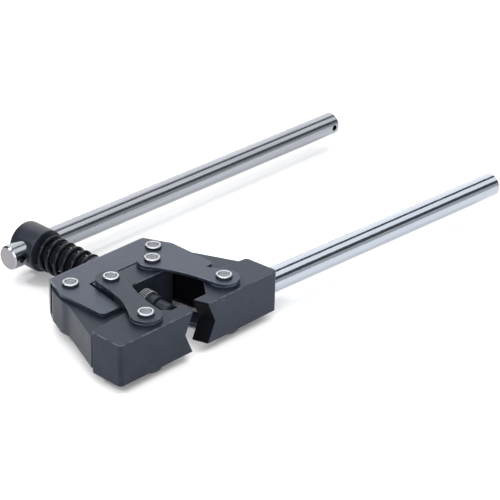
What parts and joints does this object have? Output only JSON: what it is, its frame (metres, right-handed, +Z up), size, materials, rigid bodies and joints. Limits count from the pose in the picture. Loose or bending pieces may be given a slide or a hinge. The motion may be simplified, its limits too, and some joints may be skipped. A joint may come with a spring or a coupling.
{
  "type": "roller chain breaker",
  "caption": "Hand tool that pushes the pins out of roller chain: two hinged steel jaws, a spring-returned punch screw with a sliding T-bar, and a straight handle.",
  "frame": {"origin": "on the screw axis, at the plane behind the jaw lips where the chain sits", "axes": "+X along the screw from the T-bar to the jaw fronts, +Y towards the free end of the handle, +Z up, with Z = 0 at mid-height of the jaws"},
  "size_m": [0.1534, 0.3255, 0.0364],
  "materials": {
    "black_steel": "satin black oxide",
    "rivet_steel": "bright upset rivet steel",
    "screw_steel": "oiled black oxide",
    "punch_steel": "ground hardened steel",
    "nickel_bar": "satin zinc plate",
    "chrome_bar": "bright chrome plate",
    "spring_steel": "glossy black"
  },
  "bodies": {
    "yoke": {"yoke": "black_steel", "left_jaw_pivot_rivet": "rivet_steel", "right_jaw_pivot_rivet": "rivet_steel", "thrust_washer": "black_steel", "compression_spring": "spring_steel"},
    "left_jaw": {"left_jaw": "black_steel", "left_link_rivet": "rivet_steel", "upper_left_jaw_washer": "black_steel", "lower_left_jaw_washer": "black_steel"},
    "right_jaw": {"right_jaw": "black_steel", "handle_rod": "chrome_bar", "right_link_rivet": "rivet_steel", "upper_right_jaw_washer": "black_steel", "lower_right_jaw_washer": "black_steel"},
    "nut_block": {"nut_block": "black_steel", "left_nut_rivet": "rivet_steel", "right_nut_rivet": "rivet_steel", "upper_left_nut_washer": "black_steel", "lower_left_nut_washer": "black_steel", "upper_right_nut_washer": "black_steel", "lower_right_nut_washer": "black_steel"},
    "left_links": {"upper_left_link": "black_steel", "lower_left_link": "black_steel"},
    "right_links": {"upper_right_link": "black_steel", "lower_right_link": "black_steel"},
    "punch_holder": {"punch_holder": "screw_steel", "punch_pin": "punch_steel"},
    "screw": {"screw": "screw_steel"},
    "t_bar": {"t_bar": "nickel_bar"}
  },
  "joints": [
    {"name": "right_jaw_pivot", "type": "hinge", "parent": "yoke", "child": "right_jaw", "pos_m": [-0.0611, 0.0324, 0], "axis": [0, 0, 1], "range_deg": [0, 8], "stiffness_Nm_per_rad": 12.9, "springref_deg": -9.45},
    {"name": "left_jaw_pivot", "type": "hinge", "parent": "yoke", "child": "left_jaw", "pos_m": [-0.0611, -0.0324, 0], "axis": [0, 0, 1], "range_deg": [-8, 0]},
    {"name": "nut_slide", "type": "slide", "parent": "yoke", "child": "nut_block", "axis": [1, 0, 0], "range_m": [0, 0.0035]},
    {"name": "left_link_pivot", "type": "hinge", "parent": "nut_block", "child": "left_links", "pos_m": [-0.0452, -0.0161, 0], "axis": [0, 0, 1], "range_deg": [-11.6, 0]},
    {"name": "right_link_pivot", "type": "hinge", "parent": "nut_block", "child": "right_links", "pos_m": [-0.0452, 0.0161, 0], "axis": [0, 0, 1], "range_deg": [0, 11.6]},
    {"name": "screw_feed", "type": "slide", "parent": "nut_block", "child": "punch_holder", "axis": [1, 0, 0], "range_m": [0, 0.014], "deforming": ["compression_spring"]},
    {"name": "screw_turn", "type": "hinge", "parent": "punch_holder", "child": "screw", "pos_m": [0, 0, 0], "axis": [1, 0, 0], "range_deg": [0, 3350]},
    {"name": "t_bar_slide", "type": "slide", "parent": "screw", "child": "t_bar", "axis": [0, 1, -0.0073], "range_m": [-0.242, 0.006]}
  ],
  "couplings": [
    {"joint": "left_jaw_pivot", "follows": "right_jaw_pivot", "ratio": -1},
    {"joint": "nut_slide", "follows": "right_jaw_pivot", "m_per_rad": 0.024315},
    {"joint": "right_link_pivot", "follows": "right_jaw_pivot", "ratio": 1.4264},
    {"joint": "left_link_pivot", "follows": "right_jaw_pivot", "ratio": -1.4264},
    {"joint": "screw_feed", "follows": "screw_turn", "m_per_rad": 0.00023873}
  ]
}
